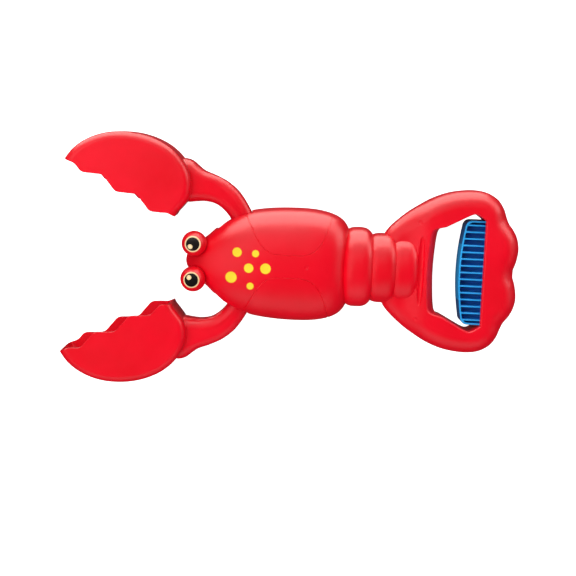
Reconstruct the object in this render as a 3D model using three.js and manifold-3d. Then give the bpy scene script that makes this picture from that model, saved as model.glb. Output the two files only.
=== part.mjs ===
// A lobster-shaped claw grabber for sand and water play. Squeezing the ribbed trigger in the tail
// handle pulls a bar through the body, and the bar swings two hollow, toothed claws shut.
// Millimetres, +Z up, +X from head to tail. The origin is the middle of the belly, on the surface
// that the toy lies on. Everything is laid out about the parting plane of the two shells.
import * as THREE from "three";
import { mergeVertices } from "three/addons/utils/BufferGeometryUtils.js";
import Module from "manifold-3d";

const wasm = await Module();
wasm.setup();

// ---- driving dimensions ----
const wall = 2.2; // moulded wall of both shells
const runClearance = 0.4; // between pieces that move past each other
const seam = 0.3; // parting line between the shells, and between pieces that only touch
const restHeight = 23; // parting plane above the belly's flat face

// Body: half width and half height along the toy, from nose to the last edge of the carapace.
const bodySide = [
  [-73.5, 0], [-72.4, 4.6], [-68, 9.6], [-58, 18.3], [-50, 25.6], [-42, 31.4], [-28, 37], [-14, 39.4],
  [0, 40.3], [14, 40.2], [25, 38.8], [34, 35.8], [40, 31], [43.6, 23], [44.7, 12], [45, 0],
];
const bodyTop = [
  [-73.5, 0], [-72.4, 5], [-66, 11.5], [-56, 17.5], [-42, 23], [-25, 26.2], [-5, 27.2], [15, 26.8],
  [28, 25], [36, 21.5], [41, 16], [44, 8], [45, 0],
];
const bodyBelly = [
  [-73.5, 0], [-72.4, 4], [-66, 10], [-56, 16.5], [-46, 21.5], [-30, 25], [0, 26], [25, 25], [36, 20],
  [42, 12], [45, 0],
];
const bodySquareness = 2.5; // power of the cross-section's superellipse, 2 is an ellipse

// Tail: three overlapping rings, then the hollow loop of the handle with its fan-shaped end.
const tailRings = [
  { x: 49.5, length: 27, halfWidth: 28.6, halfHeight: 22.5 },
  { x: 66.5, length: 26, halfWidth: 25, halfHeight: 20 },
  { x: 82.5, length: 24, halfWidth: 24, halfHeight: 17.3 },
];
const ringSquareness = 3;
const loopHalfThickness = 14;
const loopRounding = 12;
const loopOutline = [
  [64, 10], [66.5, 21], [70, 28], [76, 34.4], [84, 41.2], [92, 46.6], [101, 51.8], [111, 55.8],
  [121, 57.9], [131, 58.5], [140, 57], [147.5, 52.6], [152, 46.5], [154.4, 40.4], [156.4, 35.8],
  [160, 31], [163, 25], [164.3, 17.5], [163.2, 9], [161.2, 2.8],
];
const openingOutline = [
  [104, 4], [104.5, 14], [105.4, 24], [107, 29.6], [112, 32.6], [120, 36.9], [127, 40.6], [130.5, 41.8],
  [133, 41.2], [136, 39.3], [138.5, 37.6],
];
const frontBarLean = 5; // how far the opening's front wall leans back from the parting plane to its edge
const frontGroove = { x: 94.8, width: 2.6, halfLength: 22, depth: 3 };

// Claws: one moulding used twice, the second turned over about the toy's long axis.
const clawPivot = new THREE.Vector2(-27, 15.5);
const clawSwing = 27.5; // degrees from closed to open
const hubRadius = 8.5;
const hubHalfHeight = 9.5;
const pivotPostRadius = 3.5;
const scoopHalfHeight = 20.5;
const scoopRounding = 5.5;
const scoopWall = 2.2;
const toothPitch = 27.5;
const toothHeight = 5; // valley to tip
const toothGap = 1; // left between the two claws' teeth when they are shut
const upperToothTip = -127; // where a tooth of the upper plate points at the other claw
const scoopTip = -169.5;
const scoopHeel = -83;
const scoopBack = [
  [-169.5, 2], [-168.4, 9], [-165.4, 16.6], [-160.4, 24.2], [-153.4, 31.3], [-145, 37], [-135, 41.6],
  [-124, 44.5], [-113, 45.2], [-104, 43.9], [-96.5, 41.1], [-90, 37], [-85, 31.4], [-81.8, 25],
  [-80.4, 19], [-81.2, 13], [-82.6, 7],
];
const armOuter = [
  [-99, 41.5], [-95.5, 43.4], [-91, 44.1], [-85.5, 43], [-80, 42.3], [-71.7, 43.3], [-62, 43.5],
  [-52, 41.4], [-44, 37.6], [-37, 33.2], [-29, 27.4],
];
const armInner = [
  [-35, 12], [-41, 17], [-48, 22], [-54.7, 24.7], [-62, 25.6], [-69, 23.7], [-75, 20.2], [-80, 17],
  [-88, 15.4], [-96, 17], [-102, 22.5], [-104.6, 30], [-103.4, 37],
];
const armRootHalfHeight = 8.4;
const armWristHalfHeight = 12;
const armRounding = 7;
const armSolidRoot = 9; // how far out from the hub the arm is solid

// Lever, peg and pull bar: the levers are half-lapped, one on each side of the parting plane.
const leverThickness = 4.4;
const leverEndRadius = 5.4;
const pegRadius = 2.2;
const barThickness = 3.2;
const barToHub = 1; // left between the bar and each claw's hub
const barHalfWidth = clawPivot.y - hubRadius - barToHub;
const barEyeWall = 4.2; // of the bar's swelling round the body screw's boss
const barFront = -36.5;
const barRear = 68;
const linkX = 62; // where the trigger's yoke hooks into the bar
const linkRadius = 3;

// Trigger: a ribbed grip on a yoke whose arms run inside the hollow loop.
const gripFront = 121.5;
const gripBow = 4; // how much further forward the middle of the grip is than its ends
const gripHalfWidth = 37.3;
const gripHalfHeight = 10;
const gripRear = 141;
const slotLead = 3; // how far in front of the grip's rear face the slot in the handle starts
const gripWall = 1.8;
const gripWeb = 2.4;
const gripCorner = 3;
const crossBarHalf = 38; // half the length of the bar that joins the yoke's arms behind the grip
const crossBarDepth = 2.4;
const ribCount = 15;
const ribPitch = 4.84;
const ribThickness = 1;
const yokeThickness = 3.6;
const yokeWidth = 3.8;
const yokeNeck = 3.4;
const yokeWall = openingOutline.at(-1)[0] + wall; // inner face of the wall that its arms start behind
const yokeRoute = [
  [yokeWall + 1.5, 36.4], [yokeWall + 0.4, 41], [136, 45], [127, 47.4], [116, 47.4], [106, 43.6],
  [99.8, 38.4], [97, 34.8], [95, 31.9], [92.6, 29], [88, 27.4], [80, 25.4], [72, 17.4], [66.5, 8.5],
  [linkX, 0],
];
const neckSpan = [88, 99]; // the stretch of the yoke that squeezes past the loop screw's boss

// Return spring, on the centre line under the bar.
const springX = [24.6, 42.6];
const springRadius = 3.4;
const springWire = 0.9;
const springCoils = 7;
const springZ = -1.4;
const springTab = 2.4;
const springWallHalf = 9;

// Walls across the shells that carry the bar and keep it down.
const barRestX = -8;
const barRestHalf = 9;
const barKeeperX = 30.6;
const barKeeperHalf = 8;

// Eyes: balls pressed into sockets on the head.
const eyeCentre = new THREE.Vector3(-67.1, 12.6, 14.5);
const eyeRadius = 9;
const eyePegRadius = 2;
const eyePegLength = 5;
const eyePegShift = new THREE.Vector2(1, 3); // backwards and inwards from the ball's centre

// Screws: name, place, height of the seat under the head.
const screwShank = 1.2;
const screwHead = 2.8;
const screwHeadHeight = 1.9;
const screwReach = 14;
const screwPoint = 2;
const recessWidth = 0.7;
const recessDepth = 1;
const bossRadius = 4.6;
const topBossRadius = 3;
const pilotClearance = 0.15;
const screws = [
  { name: "head_screw", x: -52, y: 0, seat: -11 },
  { name: "body_screw", x: 13, y: 0, seat: -11 },
  { name: "loop_screw_left", x: 90.5, y: 35, seat: -7 },
  { name: "loop_screw_right", x: 90.5, y: -35, seat: -7 },
  { name: "fan_screw_left", x: 157.4, y: 17, seat: -7 },
  { name: "fan_screw_right", x: 157.4, y: -17, seat: -7 },
];
const pivotScrews = [
  { name: "pivot_screw_left", x: clawPivot.x, y: clawPivot.y, seat: -13.5 },
  { name: "pivot_screw_right", x: clawPivot.x, y: -clawPivot.y, seat: -13.5 },
];

// ---- worked out from them ----
const openAngle = THREE.MathUtils.degToRad(clawSwing);
const leverLength = clawPivot.y;
const stroke = 2 * leverLength * Math.tan(openAngle / 2);
const pegX = clawPivot.x - stroke / 2; // with the claws open
const leverZ = [seam, seam + leverThickness];
const yokeZ = [seam / 2, seam / 2 + yokeThickness];
const barFloor = Math.max(yokeZ[1], leverZ[1]) + runClearance;
const barZ = [barFloor, barFloor + barThickness];
const far = 400; // longer than the toy, for cutting blocks

// ---- geometry helpers ----
// A closed three.js geometry as a solid that can be joined and cut.
function solid(geometry) {
  const bare = geometry.clone();
  for (const name of Object.keys(bare.attributes)) if (name !== "position") bare.deleteAttribute(name);
  const merged = mergeVertices(bare, 1e-4);
  return new wasm.Manifold(
    new wasm.Mesh({
      numProp: 3,
      vertProperties: new Float32Array(merged.attributes.position.array),
      triVerts: new Uint32Array(merged.index.array),
    }),
  );
}

function geometryOf(body) {
  const { numProp, vertProperties, triVerts } = body.getMesh();
  const position = new Float32Array((vertProperties.length / numProp) * 3);
  for (let i = 0; i * 3 < position.length; i++) {
    position.set(vertProperties.subarray(i * numProp, i * numProp + 3), i * 3);
  }
  const geometry = new THREE.BufferGeometry();
  geometry.setAttribute("position", new THREE.BufferAttribute(position, 3));
  geometry.setIndex(new THREE.BufferAttribute(new Uint32Array(triVerts), 1));
  geometry.computeVertexNormals();
  return geometry;
}

const join = (bodies) => bodies.reduce((all, body) => all.add(body));

function block(x, y, z) {
  const [dx, dy, dz] = [x[1] - x[0], y[1] - y[0], z[1] - z[0]];
  const box = new THREE.BoxGeometry(dx, dy, dz);
  return solid(box.translate((x[0] + x[1]) / 2, (y[0] + y[1]) / 2, (z[0] + z[1]) / 2));
}

function post(x, y, z, radius, sides = 12) {
  const cylinder = new THREE.CylinderGeometry(radius, radius, z[1] - z[0], sides);
  return solid(cylinder.rotateX(Math.PI / 2).translate(x, y, (z[0] + z[1]) / 2));
}

const vectors = (points) => points.map(([x, y]) => new THREE.Vector2(x, y));

// Evenly spaced points on a smooth curve through the given ones.
const smooth = (points, count) => new THREE.SplineCurve(vectors(points)).getSpacedPoints(count);

// A half outline drawn above the centre line, with its mirror image: one closed loop.
function mirrored(half) {
  const below = half.map((p) => new THREE.Vector2(p.x, -p.y)).reverse();
  return [...half, ...below];
}

// Each point of a closed loop moved outwards by `grow`.
function offsetLoop(points, grow) {
  const turn = Math.sign(THREE.ShapeUtils.area(points));
  const count = points.length;
  return points.map((p, i) => {
    const along = new THREE.Vector2().subVectors(points[(i + 1) % count], points[(i + count - 1) % count]);
    along.normalize();
    return new THREE.Vector2(p.x + turn * grow * along.y, p.y - turn * grow * along.x);
  });
}

// A loop extruded between two heights with square edges.
function prism(points, z) {
  const shape = new THREE.Shape(points);
  const made = new THREE.ExtrudeGeometry(shape, { depth: z[1] - z[0], bevelEnabled: false });
  return solid(made.translate(0, 0, z[0]));
}

// A loop extruded to each side of the parting plane with its edges rounded inside the outline.
// `shrink` makes the same shape smaller all round, for the hollow inside it.
function pillow(points, halfHeight, rounding, shrink = 0, segments = 3) {
  const flat = halfHeight - rounding;
  const edge = rounding - shrink;
  const made = new THREE.ExtrudeGeometry(new THREE.Shape(points), {
    depth: 2 * flat,
    bevelThickness: edge,
    bevelSize: edge,
    bevelOffset: -rounding,
    bevelSegments: segments,
  });
  return solid(made.translate(0, 0, -flat));
}

// A curve of half widths along X, read at any X.
class Profile {
  constructor(points, count = 160) {
    this.points = smooth(points, count);
  }

  at(x) {
    const next = this.points.findIndex((p) => p.x >= x);
    if (next <= 0) return this.points[next < 0 ? this.points.length - 1 : 0].y;
    const [a, b] = [this.points[next - 1], this.points[next]];
    return a.y + ((b.y - a.y) * (x - a.x)) / (b.x - a.x || 1);
  }

  // The same curve moved inwards by a wall thickness.
  inside(thickness) {
    const first = this.points[0];
    const last = this.points[this.points.length - 1];
    const kept = [new THREE.Vector2(first.x + thickness, 0)];
    for (let i = 1; i < this.points.length - 1; i++) {
      const along = this.points[i + 1].clone().sub(this.points[i - 1]).normalize();
      const { x, y } = this.points[i];
      const p = new THREE.Vector2(x + along.y * thickness, y - along.x * thickness);
      if (p.y > 0 && p.x > kept[kept.length - 1].x && p.x < last.x - thickness) kept.push(p);
    }
    const inner = Object.create(Profile.prototype);
    inner.points = [...kept, new THREE.Vector2(last.x - thickness, 0)];
    return inner;
  }
}

// A rounded body along X with superelliptic sections, made by reshaping a sphere.
function blob({ side, top, bottom, squareness, around = 28, along = 20 }) {
  const sphere = new THREE.SphereGeometry(1, around, along).rotateZ(Math.PI / 2);
  const position = sphere.attributes.position;
  const [start, end] = [side.points[0].x, side.points[side.points.length - 1].x];
  for (let i = 0; i < position.count; i++) {
    const [u, v, w] = [position.getX(i), position.getY(i), position.getZ(i)];
    const x = start + ((end - start) * (u + 1)) / 2;
    const angle = Math.atan2(w, v);
    const reach = (part) => Math.sign(part) * Math.abs(part) ** (2 / squareness);
    const height = (w >= 0 ? top : bottom).at(x);
    const pole = Math.hypot(v, w) < 1e-6;
    const y = pole ? 0 : side.at(x) * reach(Math.cos(angle));
    const z = pole ? 0 : height * reach(Math.sin(angle));
    position.setXYZ(i, x, Math.abs(y) < 1e-9 ? 0 : y, Math.abs(z) < 1e-9 ? 0 : z);
  }
  return solid(sphere);
}

function ringBlob(ring, shrink) {
  const half = ring.length / 2 - shrink;
  const curve = (reach) => {
    const bow = Object.create(Profile.prototype);
    bow.points = Array.from({ length: 41 }, (_, i) => {
      const t = -Math.cos((i * Math.PI) / 40);
      const y = (reach - shrink) * (1 - Math.abs(t) ** ringSquareness) ** (1 / ringSquareness);
      return new THREE.Vector2(ring.x + half * t, y);
    });
    return bow;
  };
  const height = curve(ring.halfHeight);
  return blob({
    side: curve(ring.halfWidth),
    top: height,
    bottom: height,
    squareness: 2.2,
    around: shrink ? 12 : 20,
    along: shrink ? 6 : 10,
  });
}

// ---- shells ----
const loopLoop = mirrored(smooth(loopOutline, 28));
const openingLoop = mirrored(smooth(openingOutline, 14));

function bodySolid(shrink) {
  const profiles = [bodySide, bodyTop, bodyBelly].map((points) => new Profile(points));
  const [side, top, bottom] = shrink ? profiles.map((profile) => profile.inside(shrink)) : profiles;
  const detail = shrink ? { around: 16, along: 12 } : {};
  const whole = blob({ side, top, bottom, squareness: bodySquareness, ...detail });
  return whole.intersect(block([-far, far], [-far, far], [shrink - restHeight, far]));
}

// The finger opening, with its front wall leaning away from the parting plane on both sides.
function openingSolid(grow) {
  const through = prism(offsetLoop(openingLoop, grow), [-far, far]);
  const front = openingOutline[0][0] - grow;
  const edge = front - frontBarLean;
  const lean = new THREE.Shape();
  lean.moveTo(front + wall, 0);
  lean.lineTo(front, 0);
  lean.quadraticCurveTo(front, loopHalfThickness * 0.75, edge, loopHalfThickness + 1);
  lean.lineTo(front + wall, loopHalfThickness + 1);
  const halfLength = 24 + grow;
  const swept = { depth: 2 * halfLength, bevelEnabled: false, curveSegments: 3 };
  const upper = new THREE.ExtrudeGeometry(lean, swept);
  upper.rotateX(Math.PI / 2).translate(0, halfLength, 0);
  const lower = upper.clone().rotateX(Math.PI);
  return join([through, solid(upper), solid(lower)]);
}

function grooveSolid(grow) {
  const x = [frontGroove.x - frontGroove.width / 2 - grow, frontGroove.x + frontGroove.width / 2 + grow];
  const y = [-frontGroove.halfLength - grow, frontGroove.halfLength + grow];
  const floor = loopHalfThickness - frontGroove.depth - grow;
  return block(x, y, [floor, far]).add(block(x, y, [-far, -floor]));
}

function outerSolid() {
  const loop = pillow(loopLoop, loopHalfThickness, loopRounding);
  const whole = join([bodySolid(0), ...tailRings.map((ring) => ringBlob(ring, 0)), loop]);
  return whole.subtract(openingSolid(0)).subtract(grooveSolid(0));
}

function hollowSolid() {
  const loop = pillow(loopLoop, loopHalfThickness, loopRounding, wall, 2);
  const whole = join([bodySolid(wall), ...tailRings.map((ring) => ringBlob(ring, wall)), loop]);
  return whole.subtract(openingSolid(wall)).subtract(grooveSolid(wall));
}

// ---- claws, drawn closed and about their own pivot ----
const fromPivot = ([x, y]) => [x - clawPivot.x, y - clawPivot.y];

// The arm from inside the scoop round the hub and back.
function armLoop() {
  const hub = Array.from({ length: 8 }, (_, i) => {
    const angle = THREE.MathUtils.degToRad(55 - 25 * i);
    return [hubRadius * Math.cos(angle), hubRadius * Math.sin(angle)];
  });
  const outer = smooth(armOuter.map(fromPivot), 15);
  const inner = smooth(armInner.map(fromPivot), 14);
  return [...outer, ...vectors(hub), ...inner];
}

// The arm is thinner at its root, where it enters the body, than at the wrist.
function armSolid(shrink) {
  const thick = pillow(armLoop(), armWristHalfHeight, armRounding, shrink, shrink ? 1 : 2);
  const span = [-60, -34];
  return thick.warp((v) => {
    const t = THREE.MathUtils.smoothstep(v[0], span[0], span[1]);
    v[2] *= 1 - t * (1 - armRootHalfHeight / armWristHalfHeight);
  });
}

// The toothed edge of a plate: rounded teeth of one pitch, the lower plate's half a pitch on, which
// run out to a plain edge at the tip and lift away at the heel.
function toothCutter(tip, z) {
  const mean = (toothGap + toothHeight / 2) / 2;
  const edgeAt = (x) => {
    const phase = (2 * Math.PI * (x - tip)) / toothPitch;
    const fromTip = THREE.MathUtils.smoothstep(x, scoopTip + 2, scoopTip + 13);
    const toHeel = THREE.MathUtils.smoothstep(x, scoopHeel - 10, scoopHeel + 1);
    const wave = mean - (toothHeight / 2) * (0.93 * Math.cos(phase) + 0.07 * Math.cos(3 * phase));
    const ended = THREE.MathUtils.lerp(toothGap, wave, fromTip);
    return THREE.MathUtils.lerp(ended, toothHeight * 0.8, toHeel);
  };
  const count = 40;
  const start = scoopTip - 5;
  const span = scoopHeel + 10 - start;
  const edge = Array.from({ length: count + 1 }, (_, i) => {
    const x = start + (span * i) / count;
    return new THREE.Vector2(x - clawPivot.x, edgeAt(x) - clawPivot.y);
  });
  const below = (p) => new THREE.Vector2(p.x, -clawPivot.y - 3 * toothHeight);
  return prism([below(edge[0]), ...edge, below(edge[count])], z);
}

function scoopLoop() {
  const back = smooth(scoopBack.map(fromPivot), 26);
  const under = -clawPivot.y - 2.2 * scoopRounding; // past the teeth, so that their edges stay square
  const first = new THREE.Vector2(back[0].x, under);
  const last = new THREE.Vector2(back[back.length - 1].x, under);
  return [first, ...back, last];
}

function clawSolid() {
  const scoop = pillow(scoopLoop(), scoopHalfHeight, scoopRounding, 0, 2);
  const inside = pillow(scoopLoop(), scoopHalfHeight, scoopRounding, scoopWall, 1);
  const hub = post(0, 0, [-hubHalfHeight, hubHalfHeight], hubRadius, 20);
  const rootward = block([-far, -hubRadius - armSolidRoot], [-far, far], [-far, far]);
  const core = armSolid(scoopWall).intersect(rootward);
  const eye = new THREE.Vector2(Math.tan(openAngle / 2) * leverLength, -leverLength);
  const lever = prism(leverLoop(eye), leverZ);
  const openZ = [-far, far];
  return join([scoop, armSolid(0)])
    .subtract(core)
    .subtract(inside)
    .subtract(toothCutter(upperToothTip, [0, scoopHalfHeight + 1]))
    .subtract(toothCutter(upperToothTip + toothPitch / 2, [-scoopHalfHeight - 1, 0]))
    .add(hub)
    .add(lever)
    .subtract(prism(slotLoop(eye), openZ))
    .subtract(post(0, 0, openZ, pivotPostRadius + runClearance, 16));
}

// A round-ended strip between two points.
function strip(a, b, radius, sides = 8) {
  const heading = Math.atan2(b.y - a.y, b.x - a.x);
  const end = (centre, start) =>
    Array.from({ length: sides + 1 }, (_, i) => {
      const angle = heading + start + (Math.PI * i) / sides;
      return new THREE.Vector2(centre.x + radius * Math.cos(angle), centre.y + radius * Math.sin(angle));
    });
  return [...end(b, -Math.PI / 2), ...end(a, Math.PI / 2)];
}

const leverLoop = (eye) => strip(new THREE.Vector2(0, 0), eye, leverEndRadius);

// The peg travels straight while the lever swings, so its slot is a little longer than it is wide.
function slotLoop(eye) {
  const outward = eye.clone().normalize();
  const shortest = outward.clone().multiplyScalar(leverLength - runClearance / 2);
  const longest = outward.clone().multiplyScalar(leverLength / Math.cos(openAngle / 2) + runClearance / 2);
  return strip(shortest, longest, pegRadius + runClearance / 2);
}

// Everything that an arm's root passes through as it swings: bounded by the inner edge of the closed
// arm and the outer edge of the open one, with running clearance.
function armSweep(side) {
  const room = 2 * runClearance;
  const reach = (p) => p.length() > hubRadius && p.length() < 46;
  const inner = smooth(armInner.map(fromPivot), 12).filter(reach);
  const open = (p) => p.rotateAround(new THREE.Vector2(), -openAngle);
  const outer = smooth(armOuter.map(fromPivot), 12).map(open).filter(reach);
  const hub = Array.from({ length: 8 }, (_, i) => {
    const angle = THREE.MathUtils.degToRad(40 - 28 * i);
    return new THREE.Vector2(hubRadius * Math.cos(angle), hubRadius * Math.sin(angle));
  });
  const grown = offsetLoop([...outer, ...hub, ...inner], room);
  const placed = grown.map((p) => new THREE.Vector2(p.x + clawPivot.x, side * (p.y + clawPivot.y)));
  const height = armRootHalfHeight + 3 * runClearance;
  return prism(placed, [-height, height]);
}

// The tubes that hold the screws, from below and from above, before they are trimmed to the shell.
function bosses() {
  const lower = screws.map(({ x, y }) => post(x, y, [-restHeight, 0], bossRadius));
  const upper = screws.map(({ x, y }) => post(x, y, [0, far], topBossRadius));
  const pivots = pivotScrews.flatMap(({ x, y }) => [
    post(x, y, [-restHeight, -hubHalfHeight - runClearance], bossRadius + 1),
    post(x, y, [hubHalfHeight + runClearance, far], bossRadius + 1),
  ]);
  return join([...lower, ...upper, ...pivots]);
}

// What is cut away for the screws and the claws' posts.
function bossHoles() {
  const all = [...screws, ...pivotScrews];
  const heads = all.map(({ x, y, seat }) => post(x, y, [-restHeight - 1, seat], screwHead + runClearance));
  const shanks = all.map(({ x, y, seat }) => {
    const bore = screwShank + pilotClearance;
    return post(x, y, [seat - 1, seat + screwReach + 1], bore, 12);
  });
  return join([...heads, ...shanks]);
}

const eyeAt = (side) => new THREE.Vector3(eyeCentre.x, side * eyeCentre.y, eyeCentre.z);

function ball(centre, radius, sides = 16) {
  const sphere = new THREE.SphereGeometry(radius, sides, sides / 2).rotateX(Math.PI / 2);
  return solid(sphere.translate(centre.x, centre.y, centre.z));
}

function eyePeg(centre, radius, length) {
  const [x, y] = [centre.x + eyePegShift.x, centre.y - Math.sign(centre.y) * eyePegShift.y];
  return post(x, y, [centre.z - eyeRadius - length, centre.z], radius, 14);
}

function shellSolid() {
  const outer = outerSolid();
  const sides = [1, -1];
  const sockets = join(sides.map((side) => ball(eyeAt(side), eyeRadius + runClearance + wall)));
  const grip = [gripRear - slotLead, gripRear + stroke + 3 * runClearance];
  const slotHalf = Math.max(gripHalfWidth, crossBarHalf) + 2 * runClearance;
  const slotZ = [-gripHalfHeight - runClearance, gripHalfHeight + runClearance];
  const slot = block(grip, [-slotHalf, slotHalf], slotZ);
  const across = (x, half, z) => block([x, x + wall], [-half, half], z);
  const springWall = across(springX[1], springWallHalf, [-restHeight, yokeZ[1]]);
  const barRest = across(barRestX, barRestHalf, [-restHeight, leverZ[1]]);
  const barKeeper = across(barKeeperX, barKeeperHalf, [barZ[1] + runClearance, far]);
  const solids = join([bosses(), sockets, springWall, barRest, barKeeper]).intersect(outer);
  return outer
    .subtract(hollowSolid())
    .add(solids)
    .subtract(bossHoles())
    .subtract(slot)
    .subtract(join(sides.map((side) => armSweep(side))))
    .subtract(join(sides.map((side) => ball(eyeAt(side), eyeRadius + seam))))
    .subtract(join(sides.map((side) => eyePeg(eyeAt(side), eyePegRadius + seam, eyePegLength + 1))));
}

const halfSpace = (up) => block([-far, far], [-far, far], up ? [seam / 2, far] : [-far, -seam / 2]);

// The largest piece of a solid: cuts can leave crumbs of wall behind.
function largest(body) {
  return body.decompose().reduce((best, piece) => (piece.volume() > best.volume() ? piece : best));
}

function shellTop(shell) {
  const bore = (p) => post(p.x, p.y, [p.seat, p.seat + screwReach + 1], screwShank + pilotClearance, 12);
  const pivots = pivotScrews.map((p) => {
    const pin = post(p.x, p.y, [-hubHalfHeight - seam / 2, restHeight], pivotPostRadius, 16);
    return pin.subtract(bore(p));
  });
  const outer = outerSolid();
  return largest(shell.intersect(halfSpace(true)).add(join(pivots).intersect(outer)));
}

const shellBottom = (shell) => largest(shell.intersect(halfSpace(false)));

// ---- trigger and pull bar ----
function gripLoop(shrink) {
  const half = gripHalfWidth - shrink;
  const front = gripFront + shrink;
  const bow = Array.from({ length: 9 }, (_, i) => {
    const y = ((half - gripCorner) * i) / 8;
    return new THREE.Vector2(front + gripBow * (y / gripHalfWidth) ** 2, y);
  });
  const last = bow[8];
  const round = [30, 60, 90].map((degrees) => {
    const angle = THREE.MathUtils.degToRad(degrees);
    const [x, y] = [gripCorner * (1 - Math.cos(angle)), gripCorner * Math.sin(angle)];
    return new THREE.Vector2(last.x + x, last.y + y);
  });
  const end = new THREE.Vector2(gripRear, half);
  return mirrored([...bow.slice(1), ...round, end]).concat([bow[0]]);
}

// One of the yoke's two arms: a ribbon along its route, thinned where it passes the loop screw's boss.
function yokeArm(side) {
  const route = smooth(yokeRoute, 40);
  const middle = (neckSpan[0] + neckSpan[1]) / 2;
  const reach = (neckSpan[1] - neckSpan[0]) / 2;
  const edge = (turn) =>
    route.map((p, i) => {
      const along = route[Math.min(i + 1, 40)].clone().sub(route[Math.max(i - 1, 0)]).normalize();
      const wide = THREE.MathUtils.smoothstep(Math.abs(p.x - middle), reach * 0.7, reach * 1.3);
      const half = (turn * THREE.MathUtils.lerp(yokeNeck, yokeWidth, wide)) / 2;
      return new THREE.Vector2(p.x - half * along.y, side * (p.y + half * along.x));
    });
  return prism([...edge(1), ...edge(-1).reverse()], yokeZ);
}

function triggerSolid() {
  const grip = prism(gripLoop(0), [-gripHalfHeight, gripHalfHeight]);
  const pocket = prism(gripLoop(gripWall), [-far, far]);
  const web = block([-far, far], [-far, far], [-gripWeb / 2, gripWeb / 2]);
  const ribs = Array.from({ length: ribCount }, (_, i) => {
    const y = (i - (ribCount - 1) / 2) * ribPitch;
    return block([-far, far], [y - ribThickness / 2, y + ribThickness / 2], [-far, far]);
  });
  const backWall = block([gripRear - gripWall, gripRear], [-far, far], [-gripHalfHeight, gripHalfHeight]);
  const pockets = pocket.subtract(web).subtract(join(ribs)).subtract(backWall);
  const crossBar = block([gripRear - 1, gripRear + crossBarDepth], [-crossBarHalf, crossBarHalf], yokeZ);
  const yokePlate = prism(strip(new THREE.Vector2(linkX, 0), new THREE.Vector2(linkX + 6, 0), 6), yokeZ);
  const hook = post(linkX, 0, [yokeZ[0], barZ[1] + seam], linkRadius);
  return join([grip.subtract(pockets), crossBar, yokeArm(1), yokeArm(-1), yokePlate, hook]);
}

function pullBarSolid() {
  const front = new THREE.Vector2(barFront + barHalfWidth, 0);
  const rear = new THREE.Vector2(barRear - barHalfWidth, 0);
  const boss = screws.find(({ name }) => name === "body_screw");
  const slotRadius = topBossRadius + runClearance;
  const slot = strip(new THREE.Vector2(boss.x - stroke, 0), new THREE.Vector2(boss.x, 0), slotRadius);
  const swell = strip(
    new THREE.Vector2(boss.x - stroke, 0),
    new THREE.Vector2(boss.x, 0),
    slotRadius + barEyeWall,
  );
  const tab = block(
    [springX[0] - seam - springTab, springX[0] - seam],
    [-barHalfWidth + 1, barHalfWidth - 1],
    [springZ - springRadius - springWire, barZ[0] + 1],
  );
  const peg = post(pegX, 0, [-leverZ[1] - seam, barZ[0] + 1], pegRadius);
  return join([prism(strip(front, rear, barHalfWidth), barZ), prism(swell, barZ), tab, peg])
    .subtract(prism(slot, [barZ[0] - 1, barZ[1] + 1]))
    .subtract(post(linkX, 0, [barZ[0] - 1, barZ[1] + 1], linkRadius + seam));
}

// ---- small pieces ----
class Helix extends THREE.Curve {
  getPoint(t, target = new THREE.Vector3()) {
    const angle = 2 * Math.PI * springCoils * t;
    const [from, to] = [springX[0] + springWire / 2, springX[1] - springWire / 2 - seam];
    const across = new THREE.Vector2(springRadius, 0).rotateAround(new THREE.Vector2(), angle);
    return target.set(from + (to - from) * t, across.x, springZ + across.y);
  }
}

function springSolid() {
  const sides = 5;
  const wire = Array.from({ length: sides }, (_, i) => {
    const angle = (2 * Math.PI * i) / sides;
    return new THREE.Vector2((springWire / 2) * Math.cos(angle), (springWire / 2) * Math.sin(angle));
  });
  const path = { steps: springCoils * 10, extrudePath: new Helix(), bevelEnabled: false };
  return solid(new THREE.ExtrudeGeometry(new THREE.Shape(wire), path));
}

function eyeSolid(side) {
  const centre = eyeAt(side);
  return join([ball(centre, eyeRadius), eyePeg(centre, eyePegRadius, eyePegLength)]);
}

// A pan-head screw with a cross recess, standing on its head at the origin.
function screwSolid() {
  const profile = [
    [0, -screwHeadHeight], [screwHead * 0.6, -screwHeadHeight], [screwHead * 0.95, -screwHeadHeight * 0.6],
    [screwHead, 0], [screwShank, 0], [screwShank, screwReach - screwPoint], [0, screwReach],
  ];
  const turned = solid(new THREE.LatheGeometry(vectors(profile), 10).rotateX(Math.PI / 2));
  const arm = screwHead * 0.55;
  const half = recessWidth / 2;
  const deep = [-screwHeadHeight - 1, recessDepth - screwHeadHeight];
  return turned
    .subtract(block([-arm, arm], [-half, half], deep))
    .subtract(block([-half, half], [-arm, arm], deep));
}

// ---- the toy ----
const toy = new THREE.Group();
toy.position.z = restHeight;

const plastic = (color, roughness) => new THREE.MeshStandardMaterial({ color, roughness, metalness: 0 });
const red = plastic(0xe8041e, 0.42);
const darkRed = plastic(0xd9041c, 0.42);
const blue = plastic(0x1f7fd6, 0.45);
const polishedRed = plastic(0xe8041e, 0.3);
const nylon = plastic(0xe9e6dc, 0.5);
const steel = new THREE.MeshStandardMaterial({ color: 0xb9bcc0, roughness: 0.3, metalness: 1 });

function place(parent, name, body, material) {
  const mesh = new THREE.Mesh(geometryOf(body), material);
  mesh.name = name;
  parent.add(mesh);
  return mesh;
}

const shell = shellSolid();
place(toy, "shell_top", shellTop(shell), red);
place(toy, "shell_bottom", shellBottom(shell), darkRed);

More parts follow.
